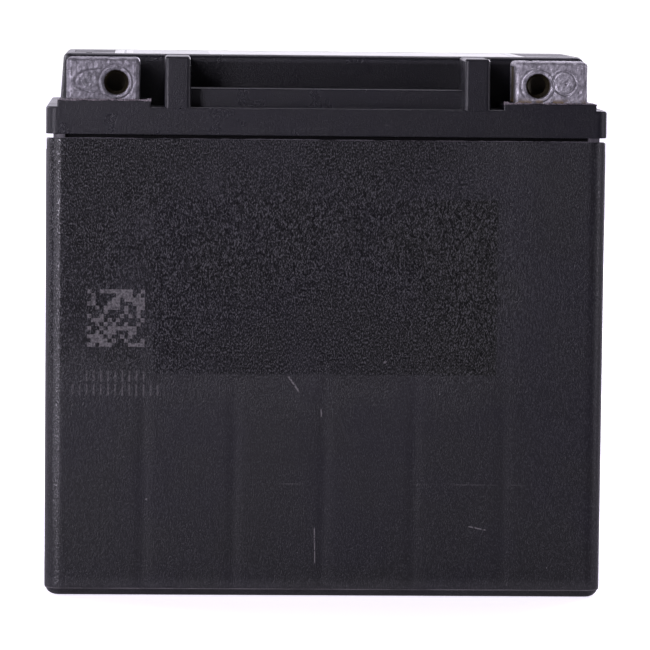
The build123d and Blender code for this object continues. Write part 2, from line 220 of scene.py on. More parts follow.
# the moulded plastics
PLASTIC = (0.0070, 0.0064, 0.0106)
PLASTIC_DARK = (0.0006, 0.0006, 0.0010)
# a paler plastic; on the case's grain it also paints glints
PLASTIC_PALE = (0.040, 0.038, 0.046)
PLASTIC_OLIVE = (0.0088, 0.0090, 0.0082)
DUST = (0.30, 0.29, 0.30)
MARK = (0.140, 0.131, 0.136)
SCRATCH = (0.075, 0.070, 0.075)
FLASH = (0.300, 0.250, 0.275)
NEAR_BLACK = (0.0040, 0.0038, 0.0045)
SHADOW_INSET = 0.45

# the case's front: ramps and areas as X or Z in millimetres
GRAIN_FADE_X = (60.0, 28.0)
GRAIN_FADE_Z = (55.0, 92.0)
GRAIN_LEAST = 0.29
PATCH_X = (-46.0, 46.0)
PATCH_Z = (60.0, 107.0)
MARK_LEFT, MARK_BOTTOM = -63.7, 67.1
MARK_MODULE = 1.1
MARK_MODULES = 14
MODULE_SHARE = 0.50
TICK_PITCH = 1.9
TICK_SPAN = (0.36, 0.60)
TICK_STRENGTH = 0.5
TICK_ROWS = ((-65.3, -47.4, 57.8, 60.7), (-68.9, -42.9, 54.0, 57.0))
SCRATCH_X = (-12, 53)
SCRATCH_Z = (30.42, 30.58)
# the lid's shelf, behind its front ribs, gets painted shade
SHELF_Y = (FRONT + 15, FRONT + 26)
SHELF_Z = (143.6, 142.6)
STROKES = (
    ((-9.7, 59.4), (-6.8, 55.2), 0.28),
    ((-0.9, 50.8), (-0.8, 48.6), 0.22),
    ((-2.4, 18.6), (-2.2, 9.2), 0.20),
    ((38.9, 19.3), (43.7, 18.3), 0.22),
    ((15.9, 63.2), (16.4, 63.7), 0.35),
)


def module_mark(s):
    """A square of modules switched on at random, so it holds no data, and rows of plain ticks."""
    across = s.math("DIVIDE", s.math("SUBTRACT", s.x, MARK_LEFT), MARK_MODULE)
    up = s.math("DIVIDE", s.math("SUBTRACT", s.z, MARK_BOTTOM), MARK_MODULE)
    place = s.node("CombineXYZ", X=s.math("FLOOR", across), Y=s.math("FLOOR", up))
    chance = s.node("TexWhiteNoise", {"noise_dimensions": "2D"}, Vector=place.outputs[0])
    lit = s.math("GREATER_THAN", chance.outputs["Value"], MODULE_SHARE)
    square = [s.band(steps, 0, MARK_MODULES, 0.05) for steps in (across, up)]
    ticks = s.band(s.math("FRACT", s.math("DIVIDE", s.x, TICK_PITCH)), *TICK_SPAN, 0.08)
    rows = [s.times(s.band(s.x, a, b, 0.1), s.band(s.z, c, d, 0.1)) for a, b, c, d in TICK_ROWS]
    marks = s.math(
        "MAXIMUM", s.times(lit, *square), s.times(ticks, s.plus(*rows), TICK_STRENGTH)
    )
    worn = s.ramp(s.noise(0.6), 0.35, 0.6, 0.35, 1.0)
    return s.times(marks, s.ramp(s.face_y, -0.8, -0.95), worn)


def rim_shadow(s):
    """1 in the groove between case and lid, a little in from the outer faces."""
    inside = s.band(s.z, case_high.z - 0.03, SKIRT_BOTTOM + 0.03, 0.03)
    for axis, half in ((s.x, case_high.x), (s.y, case_high.y)):
        edge = half - SHADOW_INSET
        inside = s.times(inside, s.ramp(s.math("ABSOLUTE", axis), edge + 0.1, edge - 0.1))
    return inside


def grain_strength(s, patches, front, patch, polished):
    """How strong the case's grain is: least low down and at the right, most high on the left."""
    high = s.ramp(s.plus(s.z, s.times(patches, 20)), *GRAIN_FADE_Z)
    left = s.ramp(s.x, *GRAIN_FADE_X, 0.12, 1.0)
    walls = s.plus(s.times(front, left), s.ramp(s.face_y, 0.5, 0.8))
    cloudy = s.ramp(patches, 0.2, 0.7, 0.55, 1)
    amount = s.times(s.plus(s.times(high, walls), s.times(patch, 0.6)), cloudy)
    amount = s.math("MAXIMUM", s.math("MINIMUM", amount, 1.0), s.times(polished, 0.5))
    return s.plus(s.times(amount, 1 - GRAIN_LEAST), GRAIN_LEAST)


def case_wear_and_painted_light(s, colour, front):
    """The case's colour with scratches and dust, a pale foot of dust and painted bounce light, and
    a painted highlight along the ledge.
    """
    # pale foot: dust, and painted light bounced up from the floor
    foot = s.ramp(s.noise(1.2, stretch=(3, 1, 1)), 0.25, 0.75, 0.5, 1.0)
    foot = s.times(foot, s.ramp(s.z, 6.0, 2.4))
    colour = s.blend(s.times(foot, 0.08), colour, DUST)
    # painted highlight along the ledge of the step near the foot
    ledge_highlight = s.ramp(s.noise(1.6, stretch=(5, 1, 1), seed=13), 0.35, 0.60, 0.3, 1.0)
    ledge_highlight = s.times(ledge_highlight, s.band(s.z, STEP_LEVEL - 0.08, STEP_LEVEL + 0.24, 0.05))
    colour = s.blend(ledge_highlight, colour, MARK)

    scratch = s.ramp(s.noise(2.0, stretch=(3, 1, 1), seed=8), 0.45, 0.6)
    scratch = s.times(scratch, s.band(s.z, *SCRATCH_Z, 0.1), s.band(s.x, *SCRATCH_X, 2))
    colour = s.blend(s.times(front, scratch, 0.8), colour, SCRATCH)
    strokes = s.plus(*[s.stroke(*stroke) for stroke in STROKES])
    strokes = s.times(strokes, s.ramp(s.noise(0.8, seed=4), 0.35, 0.5))
    colour = s.blend(s.times(front, strokes), colour, MARK)
    specks = s.times(s.ramp(s.cells(5.5), 0.05, 0.03), s.ramp(s.noise(14, seed=2), 0.6, 0.65))
    return s.blend(s.times(specks, 0.8), colour, DUST)


def case_plastic():
    """Black polypropylene with leathery grain, and one rougher rectangle at the front."""
    s = Surface("case_plastic")
    streaks = s.noise(0.30, detail=1.5, rough=0.6, stretch=(1, 1, 2.0))
    fine = s.noise(0.30, detail=2.0, rough=0.6, stretch=(1, 1, 1.5), seed=3)
    patches = s.noise(16, detail=2, seed=5)
    front = s.ramp(s.face_y, -0.5, -0.8)
    patch = s.times(front, s.band(s.x, *PATCH_X, 0.4), s.band(s.z, *PATCH_Z, 0.4))
    polished = s.times(s.band(s.face_x, -0.50, -0.12, 0.05), s.ramp(s.z, 12, 30, 0.25, 1.0))
    amount = grain_strength(s, patches, front, patch, polished)
    bright = s.times(s.ramp(streaks, 0.54, 0.65), amount)
    dark = s.times(s.ramp(streaks, 0.53, 0.40), amount)
    coarse = s.ramp(streaks, 0.38, 0.62)
    mark = module_mark(s)
    shadow = rim_shadow(s)

    colour = s.blend(s.ramp(patches, 0.35, 0.65), PLASTIC, s.blend(0.5, PLASTIC, PLASTIC_OLIVE))
    olive = s.times(patch, s.ramp(s.plus(s.x, s.times(patches, 30)), 20, 55))
    colour = s.blend(olive, colour, PLASTIC_OLIVE)
    # painted shade in the grain's valleys and painted glints on its peaks
    colour = s.blend(s.times(dark, 0.85), colour, PLASTIC_DARK)
    colour = s.blend(s.times(bright, 0.8), colour, PLASTIC_PALE)
    colour = case_wear_and_painted_light(s, colour, front)
    colour = s.blend(mark, colour, MARK)
    colour = s.blend(shadow, colour, NEAR_BLACK)

    rough = s.ramp(streaks, 0.38, 0.62, 0.34, 0.28)
    height = s.plus(s.times(coarse, amount), s.times(fine, 0.16), s.times(mark, 0.3))
    gloss = s.plus(
        s.ramp(amount, 0.3, 1.0, 0.5, 0.26),
        s.times(bright, 0.95),
        s.times(dark, -0.14),
        s.times(polished, 0.40),
    )
    gloss = s.times(gloss, s.ramp(shadow, 0, 1, 1, 0.25))
    return s.finish(colour, rough, s.bump(height, 0.075), Specular_IOR_Level=gloss)


def lid_plastic():
    """The same plastic from a finer mould: matt, with faint clouds and a few scuffs."""
    s = Surface("lid_plastic")
    fine = s.noise(0.38, detail=3, rough=0.65)
    clouds = s.noise(9, detail=3, seed=4)
    scuffs = s.ramp(s.noise(0.5, detail=1, stretch=(7, 7, 1), seed=6), 0.68, 0.76)
    scuffs = s.times(scuffs, s.ramp(s.noise(7, seed=7), 0.56, 0.64))
    colour = s.blend(s.ramp(clouds, 0.3, 0.7), PLASTIC_DARK, PLASTIC)
    colour = s.blend(0.55, colour, PLASTIC)
    colour = s.blend(s.times(s.ramp(fine, 0.50, 0.68), 0.35), colour, PLASTIC_PALE)
    colour = s.blend(s.times(scuffs, 0.5), colour, SCRATCH)
    upper = s.times(s.ramp(s.z, PEDESTAL_TOP + 1, PEDESTAL_TOP + 9), s.ramp(s.face_y, -0.7, -0.9))
    colour = s.blend(s.times(upper, s.ramp(clouds, 0.2, 0.8), 0.12), colour, PLASTIC_PALE)
    specks = s.times(s.ramp(s.cells(4.5), 0.06, 0.04), s.ramp(s.noise(11, seed=2), 0.62, 0.66))
    colour = s.blend(s.times(specks, 0.7), colour, DUST)
    rough = s.ramp(clouds, 0.3, 0.7, 0.34, 0.27)
    normal = s.bump(fine, 0.09)
    # painted shade on the shelf behind the ribs and in the groove under the lid
    shelf_shade = s.times(s.band(s.y, *SHELF_Y, 1), s.ramp(s.z, *SHELF_Z))
    shadow = s.math("MAXIMUM", rim_shadow(s), s.times(shelf_shade, 0.56))
    colour = s.blend(shadow, colour, NEAR_BLACK)
    return s.finish(colour, rough, normal, Specular_IOR_Level=s.ramp(shadow, 0, 1, 0.42, 0.08))


def flash_plastic(name, bruised):
    """Thin flash of the plastic, bruised pale along its torn edge."""
    s = Surface(name)
    torn = s.noise(0.5, detail=3, rough=0.7)
    colour = s.blend(s.times(s.ramp(torn, 0.35, 0.6), bruised), PLASTIC_PALE, FLASH)
    return s.finish(colour, s.ramp(torn, 0.3, 0.7, 0.6, 0.4), s.bump(torn, 0.08))


def cover_plastic():
    """Cover moulding: slightly glossier, with swirls of flow from the injection point."""
    s = Surface("cover_plastic")
    flow = s.noise(14, detail=4, rough=0.6, twist=2.5)
    fine = s.noise(0.45, detail=2, seed=1)
    colour = s.blend(s.ramp(flow, 0.35, 0.65), PLASTIC, PLASTIC_DARK)
    colour = s.blend(s.times(s.ramp(fine, 0.6, 0.8), 0.25), colour, PLASTIC_PALE)
    return s.finish(colour, s.ramp(flow, 0.3, 0.7, 0.42, 0.55), s.bump(fine, 0.02))


def rubber(name, tint, bloom):
    """Black rubber with a pale bloom in its pores."""
    s = Surface(name)
    pores = s.cells(0.5, "SMOOTH_F1")
    clouds = s.noise(2.5, detail=3)
    colour = s.blend(s.times(s.ramp(clouds, 0.45, 0.75), bloom), tint, DUST)
    normal = s.bump(s.plus(pores, s.noise(1.2)), 0.03)
    return s.finish(colour, s.ramp(clouds, 0.3, 0.7, 0.62, 0.8), normal)


def filter_white():
    """Porous sintered plastic, made of fused white grains."""
    s = Surface("filter_white")
    grains = s.cells(0.28, "SMOOTH_F1")
    colour = s.blend(s.ramp(grains, 0.2, 0.7), (0.78, 0.77, 0.73), (0.42, 0.41, 0.38))
    return s.finish(colour, 0.85, s.bump(grains, -0.1))


LABEL_WHITE = (0.80, 0.83, 0.75)
LABEL_GREY = (0.42, 0.44, 0.42)
BORDER = (2.6, 3.2)
PANEL_INSET, PANEL_END = 5.0, 26.0


def label_film():
    """Plain white film with a grey border line, finger marks and a faint orange-peel surface."""
    s = Surface("label_film")
    from_edges = []
    for axis, low, high in ((s.x, label_low.x, label_high.x), (s.y, label_low.y, label_high.y)):
        from_middle = s.math("ABSOLUTE", s.math("SUBTRACT", axis, (low + high) / 2))
        from_edges.append(s.math("SUBTRACT", (high - low) / 2, from_middle))
    inset = s.math("MINIMUM", *from_edges)
    border = s.band(inset, *BORDER, 0.06)
    panel_end = label_low.x + PANEL_END
    panel = s.ramp(inset, PANEL_INSET, PANEL_INSET + 0.1)
    panel = s.times(panel, s.ramp(s.x, panel_end, panel_end - 0.1))
    grime = s.times(s.ramp(s.noise(7, detail=5, rough=0.7), 0.5, 0.8), 0.35)
    wear = s.times(s.ramp(inset, 1.4, 0.2), s.ramp(s.noise(1.5, detail=4), 0.4, 0.7))
    colour = s.blend(s.math("MAXIMUM", border, s.times(panel, 0.55)), LABEL_WHITE, LABEL_GREY)
    colour = s.blend(grime, colour, (0.55, 0.53, 0.49))
    colour = s.blend(s.times(wear, 0.6), colour, (0.50, 0.48, 0.46))
    rough = s.plus(s.ramp(s.noise(5, detail=4, seed=2), 0.3, 0.7, 0.28, 0.42), s.times(grime, 0.3))
    return s.finish(colour, rough, s.bump(s.noise(1.1, detail=3), 0.02), Coat_Weight=0.15)


LEAD_LIGHT = (0.50, 0.48, 0.52)
LEAD_DARK = (0.090, 0.086, 0.098)
LEAD_BRIGHT = (0.95, 0.94, 0.97)
LEAD_DULL = (0.20, 0.20, 0.21)
RUST = (0.16, 0.105, 0.035)
CHAMBER_OXIDE_AND_SHADE = (0.110, 0.098, 0.070)
CHAMBER_X = (50.2, 61.9)
CHAMBER_FRONT, CHAMBER_BACK, CHAMBER_TOP = 2.5, 2.7, 1.3


def lead(name, tarnish, scale):
    """Soft cast lead: blotchy oxide, tiny dents and bright scrapes."""
    s = Surface(name)
    blotches = s.noise(1.9 * scale, detail=5, rough=0.68, twist=0.4)
    fine = s.noise(0.32 * scale, detail=3, rough=0.7, seed=2)
    scrapes = s.ramp(s.noise(0.4 * scale, detail=2, stretch=(6, 6, 1), seed=9), 0.60, 0.72)
    scrapes = s.times(scrapes, s.ramp(s.noise(3 * scale, seed=4), 0.42, 0.6))
    colour = s.blend(s.ramp(blotches, 0.32, 0.68), LEAD_DARK, LEAD_LIGHT)
    colour = s.blend(tarnish, LEAD_LIGHT, colour)
    colour = s.blend(s.times(s.ramp(fine, 0.35, 0.75), 0.5), colour, LEAD_LIGHT)
    colour = s.blend(s.times(scrapes, 0.7), colour, LEAD_BRIGHT)
    rough = s.plus(s.ramp(blotches, 0.3, 0.7, 0.55, 0.36), s.times(fine, 0.12))
    height = s.plus(s.times(blotches, 0.5), s.times(fine, 0.5), s.times(scrapes, -0.4))
    return s, colour, rough, s.bump(height, 0.10 * scale)


def washer_marks(s, colour, level):
    """Light and deep arcs where washers have turned, and one dulled spot at the left."""
    front = s.ramp(s.face_y, -0.7, -0.9)
    for side in (-1, 1):
        here = s.ramp(s.times(s.x, side), 0, 1)
        for x, z, reach in ((63.5, level + 0.7, 3.4 + 0.8 * side), (BOLT_PLACE, level, 5.2)):
            arcs, distance = s.arcs(side * x, z, 0.30, seed=reach)
            near = s.times(here, s.ramp(distance, reach, reach - 1.0), front)
            for low, high, tint in ((0.56, 0.64, LEAD_BRIGHT), (0.46, 0.38, LEAD_DARK)):
                streaks = s.times(near, s.ramp(arcs, low, high), 0.50)
                colour = s.blend(streaks, colour, tint)
    from_lug = s.from_axis(-62.2, level + 0.4)[2]
    dull_lug = s.times(s.ramp(from_lug, 3.4, 2.4), front)
    return s.blend(s.times(dull_lug, 0.45), colour, LEAD_DULL)


def terminal_lead():
    """Lead with washer marks on its front, a nut chamber darkened by oxide and painted shade, and
    residue along the foot.
    """
    s, colour, rough, normal = lead("terminal_lead", 0.92, 1.0)
    colour = washer_marks(s, colour, block_high.z - BOLT_BELOW_TOP)
    colour = s.blend(s.ramp(s.x, 50, -50, 0.1, 0.5), colour, LEAD_DARK)
    roof = block_high.z - CHAMBER_TOP
    inside = s.times(
        s.band(s.y, block_low.y + CHAMBER_FRONT, block_high.y - CHAMBER_BACK, 0.05),
        s.ramp(s.z, roof, roof - 0.1),
        s.band(s.math("ABSOLUTE", s.x), *CHAMBER_X, 0.05),
    )
    # the nut chamber: dull oxide, and painted shade deep inside the terminal
    colour = s.blend(inside, colour, CHAMBER_OXIDE_AND_SHADE)
    foot = s.ramp(s.z, PEDESTAL_TOP + 1.6, PEDESTAL_TOP + 0.2)
    residue = s.ramp(s.noise(2.2, detail=3, seed=12), 0.46, 0.58)
    residue = s.times(foot, residue, s.ramp(s.x, 40, 50))
    colour = s.blend(s.times(residue, 0.85), colour, RUST)
    rough = s.plus(rough, s.times(inside, 0.4), s.times(residue, 0.4))
    dull = s.math("MAXIMUM", residue, inside)
    return s.finish(colour, rough, normal, Metallic=s.ramp(dull, 0, 1, 0.82, 0.0))


def cast_lead():
    s, colour, rough, normal = lead("cast_lead", 1.0, 2.2)
    return s.finish(colour, rough, normal, Metallic=0.7)


def nut_steel():
    """Zinc-plated steel: faint yellow chromate kept very dark as painted shade, brushed faces and
    white bloom.
    """
    s = Surface("nut_steel")
    clouds = s.noise(2.4, detail=4)
    brush = s.noise(0.18, detail=2, stretch=(10, 1, 1))
    # the chromate colours are kept very dark: painted shade for a nut deep in its chamber
    colour = s.blend(s.ramp(clouds, 0.35, 0.65), (0.10, 0.083, 0.048), (0.05, 0.042, 0.028))
    colour = s.blend(s.ramp(s.noise(0.9, detail=3, seed=3), 0.66, 0.74), colour, (0.60, 0.58, 0.52))
    rough = s.ramp(clouds, 0.3, 0.7, 0.28, 0.48)
    return s.finish(colour, rough, s.bump(s.plus(brush, clouds), 0.02), Metallic=0.9)


def sealing_resin():
    """Poured epoxy: dark red, glossy, with small bubbles."""
    s = Surface("sealing_resin")
    bubbles = s.ramp(s.cells(0.8), 0.28, 0.16)
    clouds = s.noise(3, detail=3)
    colour = s.blend(s.ramp(clouds, 0.3, 0.7), (0.11, 0.012, 0.010), (0.20, 0.030, 0.022))
    colour = s.blend(s.times(bubbles, 0.5), colour, (0.35, 0.10, 0.08))
    return s.finish(colour, 0.22, s.bump(s.plus(bubbles, clouds), 0.06), Coat_Weight=0.4)


GRID_PITCH_Y, GRID_PITCH_Z = 7.0, 4.5


def pasted_plate(name, paste, paste_dark, wire):
    """A pasted plate: rough paste with the lead grid's wires just showing through."""
    s = Surface(name)
    waves = [
        s.math("ABSOLUTE", s.math("SINE", s.times(axis, math.pi / pitch)))
        for axis, pitch in ((s.y, GRID_PITCH_Y), (s.z, GRID_PITCH_Z))
    ]
    wires = s.math("MAXIMUM", s.ramp(waves[0], 0.16, 0.06), s.ramp(waves[1], 0.22, 0.08))
    bare = s.times(wires, s.ramp(s.noise(5, detail=3, seed=3), 0.35, 0.6))
    crumbs = s.noise(0.7, detail=4, rough=0.7)
    colour = s.blend(s.ramp(crumbs, 0.3, 0.7), paste_dark, paste)
    colour = s.blend(s.ramp(s.noise(14, detail=3, seed=5), 0.4, 0.7), colour, paste_dark)
    colour = s.blend(s.times(bare, 0.8), colour, wire)
    rough = s.ramp(bare, 0, 1, 0.9, 0.5)
    height = s.plus(s.times(wires, 0.6), s.times(crumbs, 0.6))
    return s.finish(colour, rough, s.bump(height, 0.2), Metallic=s.times(bare, 0.6))


def glass_mat():
    """Felted glass fibres, crossing at random."""
    s = Surface("glass_mat")
    lengthwise = s.noise(0.12, detail=2, stretch=(1, 14, 2.5), twist=0.6)
    upright = s.noise(0.12, detail=2, stretch=(1, 2.5, 14), twist=0.6, seed=2)
    fibres = s.math("MAXIMUM", lengthwise, upright)
    damp = s.ramp(s.noise(12, detail=3), 0.4, 0.7)
    colour = s.blend(s.ramp(fibres, 0.4, 0.7), (0.55, 0.55, 0.52), (0.86, 0.86, 0.84))
    colour = s.blend(s.times(damp, 0.3), colour, (0.56, 0.55, 0.50))
    return s.finish(colour, 0.88, s.bump(fibres, 0.1))


materials = {
    "case_plastic": case_plastic(),
    "lid_plastic": lid_plastic(),
    "cover_plastic": cover_plastic(),
    "valve_rubber": rubber("valve_rubber", (0.020, 0.020, 0.021), 0.10),
    "seal_rubber": rubber("seal_rubber", (0.013, 0.013, 0.014), 0.05),
    "filter_white": filter_white(),
    "label_film": label_film(),
    "terminal_lead": terminal_lead(),
    "cast_lead": cast_lead(),
    "nut_steel": nut_steel(),
    "sealing_resin": sealing_resin(),
    "positive_plate": pasted_plate(
        "positive_plate", (0.075, 0.028, 0.018), (0.030, 0.012, 0.009), (0.20, 0.19, 0.20)
    ),
    "negative_plate": pasted_plate(
        "negative_plate", (0.20, 0.20, 0.21), (0.09, 0.09, 0.10), (0.42, 0.42, 0.44)
    ),
    "glass_mat": glass_mat(),
}


# ---- mesh helpers
DOUBLED = 0.002


def add_to_scene(name, data):
    """A new object in the scene with this mesh, lamp or camera."""
    made = bpy.data.objects.new(name, data)
    scene.collection.objects.link(made)
    return made


def new_object(name, bm):
    """Puts a finished bmesh, in millimetres, into the scene as an object in metres."""
    bmesh.ops.recalc_face_normals(bm, faces=bm.faces)
    mesh = bpy.data.meshes.new(name)
    bm.to_mesh(mesh)
    bm.free()
    mesh.transform(Matrix.Scale(MM, 4))
    return add_to_scene(name, mesh)


def lofted(name, rings, degrees):
    """A closed piece through these rings, shaded smooth below this angle."""
    bm = bmesh.new()
    loft(bm, rings)
    piece = new_object(name, bm)
    shade(piece, degrees)
    return piece


def shade(obj, degrees):
    """Smooth shading, with creases where faces meet at a sharper angle."""
    obj.data.shade_smooth()
    obj.data.set_sharp_from_angle(angle=math.radians(degrees))


def bake(obj):
    """Puts the result of the object's modifiers into its mesh."""
    graph = bpy.context.evaluated_depsgraph_get()
    mesh = bpy.data.meshes.new_from_object(obj.evaluated_get(graph))
    obj.modifiers.clear()
    obj.data = mesh


def cut(obj, cutter):
    """Takes a closed cutter away from a closed object."""
    boolean = obj.modifiers.new("cut", "BOOLEAN")
    boolean.operation = "DIFFERENCE"
    boolean.solver = "MANIFOLD"
    boolean.object = cutter
    bake(obj)
    bpy.data.objects.remove(cutter)


def loft(bm, rings, closed_ends=True):
    """Joins rings of equally many points with faces and closes the two ends."""
    rows = [[bm.verts.new(point) for point in ring] for ring in rings]
    count = len(rows[0])
    for low, high in zip(rows, rows[1:]):
        for i in range(count):
            j = (i + 1) % count
            bm.faces.new((low[i], low[j], high[j], high[i]))
    if closed_ends:
        bm.faces.new(rows[0])
        bm.faces.new(rows[-1])
    return rows


def copy_of(node, name):
    """A new object with the shape of a CAD node, its doubled corners merged."""
    bm = bmesh.new()
    bm.from_mesh(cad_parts[node].data)
    bmesh.ops.scale(bm, vec=Vector((1, 1, 1)) / MM, verts=bm.verts)
    bmesh.ops.remove_doubles(bm, verts=bm.verts, dist=DOUBLED)
    return new_object(name, bm)


def settle(obj, slot, *nodes, body=BODY, look=None):
    """Gives a finished piece its look (the slot's material unless another look is given) and its
    body, and hides the CAD nodes it stands for.
    """
    obj.data.materials.clear()
    obj.data.materials.append(look or materials[slot])
    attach(obj, body)
    if nodes:
        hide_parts(*nodes)


# ---- case
CASE_CORNER = 4.5
CASE_BASE_RADIUS = 2.8
CASE_RIM_RADIUS = 0.2
SIDE_STEP = 3.2
GROOVE_DEPTH = 2.0
CASE_DRAFT = math.radians(0.08)
CASE_WALL = 3.4
CASE_FLOOR = 3.2
CELLS = 6
PARTITION = 1.8
CELL_CORNER = 1.5
CELL_CORNER_STEPS = 5
CELL_WIDTH = (case_high.x - case_low.x - 2 * CASE_WALL - (CELLS - 1) * PARTITION) / CELLS
CELL_PITCH = CELL_WIDTH + PARTITION
PARTITION_PLACES = [CELL_PITCH * (i - (CELLS - 2) / 2) for i in range(CELLS - 1)]
WINDOW_SIDES = 32
WINDOW_RADIUS = 4.0
WINDOW_PLACE = 28.0
WINDOW_LEVEL = 116.8
FINE_STEP = 0.8
COARSE_STEP = 1.6
CORNER_STEPS = 10
BASE_RINGS, RIM_RINGS = 8, 4
STEP_SOFT = 0.04
STEP_DEPTH = 0.20
SINK_WIDTH = 1.5
SINK_DEPTH = 0.08
SINK_TOP, SINK_FADE = 45, 40
WARP_DEPTH = 0.22


def rounded_outline(half_x, half_y, radius, step_x, step_y, corner_steps):
    """Core points and outward directions round a rounded rectangle, from the front left."""
    core_x, core_y = half_x - radius, half_y - radius
    count_x = max(1, round(2 * core_x / step_x))
    count_y = max(1, round(2 * core_y / step_y))
    corners = ((1, -1, -90), (1, 1, 0), (-1, 1, 90), (-1, -1, 180))
    sides = ((count_x, (1, 0)), (count_y, (0, 1)), (count_x, (-1, 0)), (count_y, (0, -1)))
    outline = []
    start = Vector((-core_x, -core_y))
    for (sign_x, sign_y, degrees), (count, direction) in zip(corners, sides):
        end = Vector((sign_x * core_x, sign_y * core_y))
        normal = Vector((direction[1], -direction[0]))
        outline += [(start.lerp(end, i / count), normal) for i in range(count)]
        for i in range(corner_steps):
            angle = math.radians(degrees + 90 * i / corner_steps)
            outline.append((end, Vector((math.cos(angle), math.sin(angle)))))
        start = end
    return outline


def wall_offset(x, z, normal):
    """How far a wall of the case stands in (negative) or out at a point."""
    low_part = max(0.0, min(1.0, (case_high.z - SINK_TOP - z) / SINK_FADE))
    offset = -STEP_DEPTH if z < STEP_LEVEL else 0.0
    flat = normal.y * normal.y
    height_wave = math.sin(math.pi * min(1.0, z / case_high.z))
    width_wave = math.cos(math.pi * x / (case_high.x - case_low.x))
    offset -= WARP_DEPTH * flat * height_wave * width_wave
    for place in PARTITION_PLACES:
        sink = math.exp(-(((x - place) / SINK_WIDTH) ** 2))
        offset -= SINK_DEPTH * flat * sink * (0.25 + low_part)
    return offset


def case_levels():
    """Heights of the case's rings from the base to the rim, with their insets."""
    base, rim_low = CASE_BASE_RADIUS, case_high.z - CASE_RIM_RADIUS
    levels = []
    for i in range(BASE_RINGS + 1):
        angle = math.pi / 2 * i / BASE_RINGS
        levels.append((base * (1 - math.cos(angle)), base * (1 - math.sin(angle))))
    for z in (STEP_LEVEL - STEP_SOFT, STEP_LEVEL + STEP_SOFT):
        levels.append((z, base - math.sqrt(base**2 - (base - z) ** 2)))
    levels.sort()
    count = round((rim_low - base) / FINE_STEP)
    levels += [(base + i / count * (rim_low - base), 0.0) for i in range(1, count + 1)]
    for i in range(1, RIM_RINGS + 1):
        angle = math.pi / 2 * i / RIM_RINGS
        height = case_high.z - CASE_RIM_RADIUS * (1 - math.sin(angle))
        levels.append((height, CASE_RIM_RADIUS * (1 - math.cos(angle))))
    return levels


def between(ring, low, high):
    """The same flat ring at two heights."""
    return [[(*p, z) for p in ring] for z in (low, high)]


def pockets():
    """Six blocks that hollow the case into its cells."""
    bm = bmesh.new()
    cell = rounded_outline(
        CELL_WIDTH / 2, case_high.y - CASE_WALL, CELL_CORNER, 20, 20, CELL_CORNER_STEPS
    )
    for i in range(CELLS):
        place = Vector((CELL_PITCH * (i - (CELLS - 1) / 2), 0))
        ring = [place + core + normal * CELL_CORNER for core, normal in cell]
        loft(bm, between(ring, CASE_FLOOR, case_high.z + 1))
    return new_object("pockets", bm)


def side_steps():
    """Two blocks that step the case's side rims down, all but a short piece at the front."""
    bm = bmesh.new()
    front, back = CASE_WALL - case_high.y, case_high.y + 1
    for side in (-1, 1):
        left, right = sorted((side * (case_high.x - GROOVE_DEPTH), side * (case_high.x + 1)))
        ring = [(left, front), (right, front), (right, back), (left, back)]
        loft(bm, between(ring, case_high.z - SIDE_STEP, case_high.z + 1))
    return new_object("side_steps", bm)


def windows():
    """Five round bars that open the partitions for the welds between the cells."""
    bm = bmesh.new()
    for i, x in enumerate(PARTITION_PLACES):
        y = -WINDOW_PLACE if i % 2 else WINDOW_PLACE
        circle = []
        for k in range(WINDOW_SIDES):
            turn = math.tau * k / WINDOW_SIDES
            z = WINDOW_LEVEL + WINDOW_RADIUS * math.sin(turn)
            circle.append((y + WINDOW_RADIUS * math.cos(turn), z))
        loft(bm, [[(x + side * PARTITION, *p) for p in circle] for side in (-1, 1)])
    return new_object("windows", bm)


def case_piece():
    """The case: an outer skin with its small faults, hollowed into six cells."""
    outline = rounded_outline(
        case_high.x, case_high.y, CASE_CORNER, FINE_STEP, COARSE_STEP, CORNER_STEPS
    )
    rings = []
    for z, inset in case_levels():
        drafted = inset + (case_high.z - z) * math.tan(CASE_DRAFT)
        ring = []
        for core, normal in outline:
            reach = CASE_CORNER - drafted + wall_offset(core.x, z, normal)
            ring.append((*(core + normal * reach), z))
        rings.append(ring)
    bm = bmesh.new()
    loft(bm, rings)
    piece = new_object("case_molding", bm)
    for cutter in (pockets, side_steps, windows):
        cut(piece, cutter())
    shade(piece, 40)
    return piece


# ---- lid
SLIVER_EDGE = 0.0001
PEDESTAL_INNER, PEDESTAL_OUTER = 47.1, 72.0
FLASH_STEP = 0.25
FLASH_LOWEST, FLASH_TALLEST = 0.06, 0.5
FLASH_JITTER = 0.16
FLASH_GAP = 7
LEAN_JITTER, LEAN_MOST = 0.06, 0.15
CURL_LENGTH = 3.2
CURL_HEIGHT = 0.55
RIM_STEP = 0.35
RIM_LOWEST, RIM_TALLEST = 0.02, 0.22
RIM_JITTER = 0.07
TAB_INNER, TAB_OUTER = 69.9, 73.0
TAB_SETBACK = 0.15
TAB_DEPTH = 3.2
TAB_STEPS = 8


def lid_piece():
    """The lid as designed, without the few flat slivers at the corners of its fillets."""
    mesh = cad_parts["lid"].data.copy()
    bm = bmesh.new()
    bm.from_mesh(mesh)
    slivers = [f for f in bm.faces if min(e.calc_length() for e in f.edges) < SLIVER_EDGE * MM]
    bmesh.ops.delete(bm, geom=slivers, context="FACES")
    bm.to_mesh(mesh)
    bm.free()
    return add_to_scene("lid_molding", mesh)


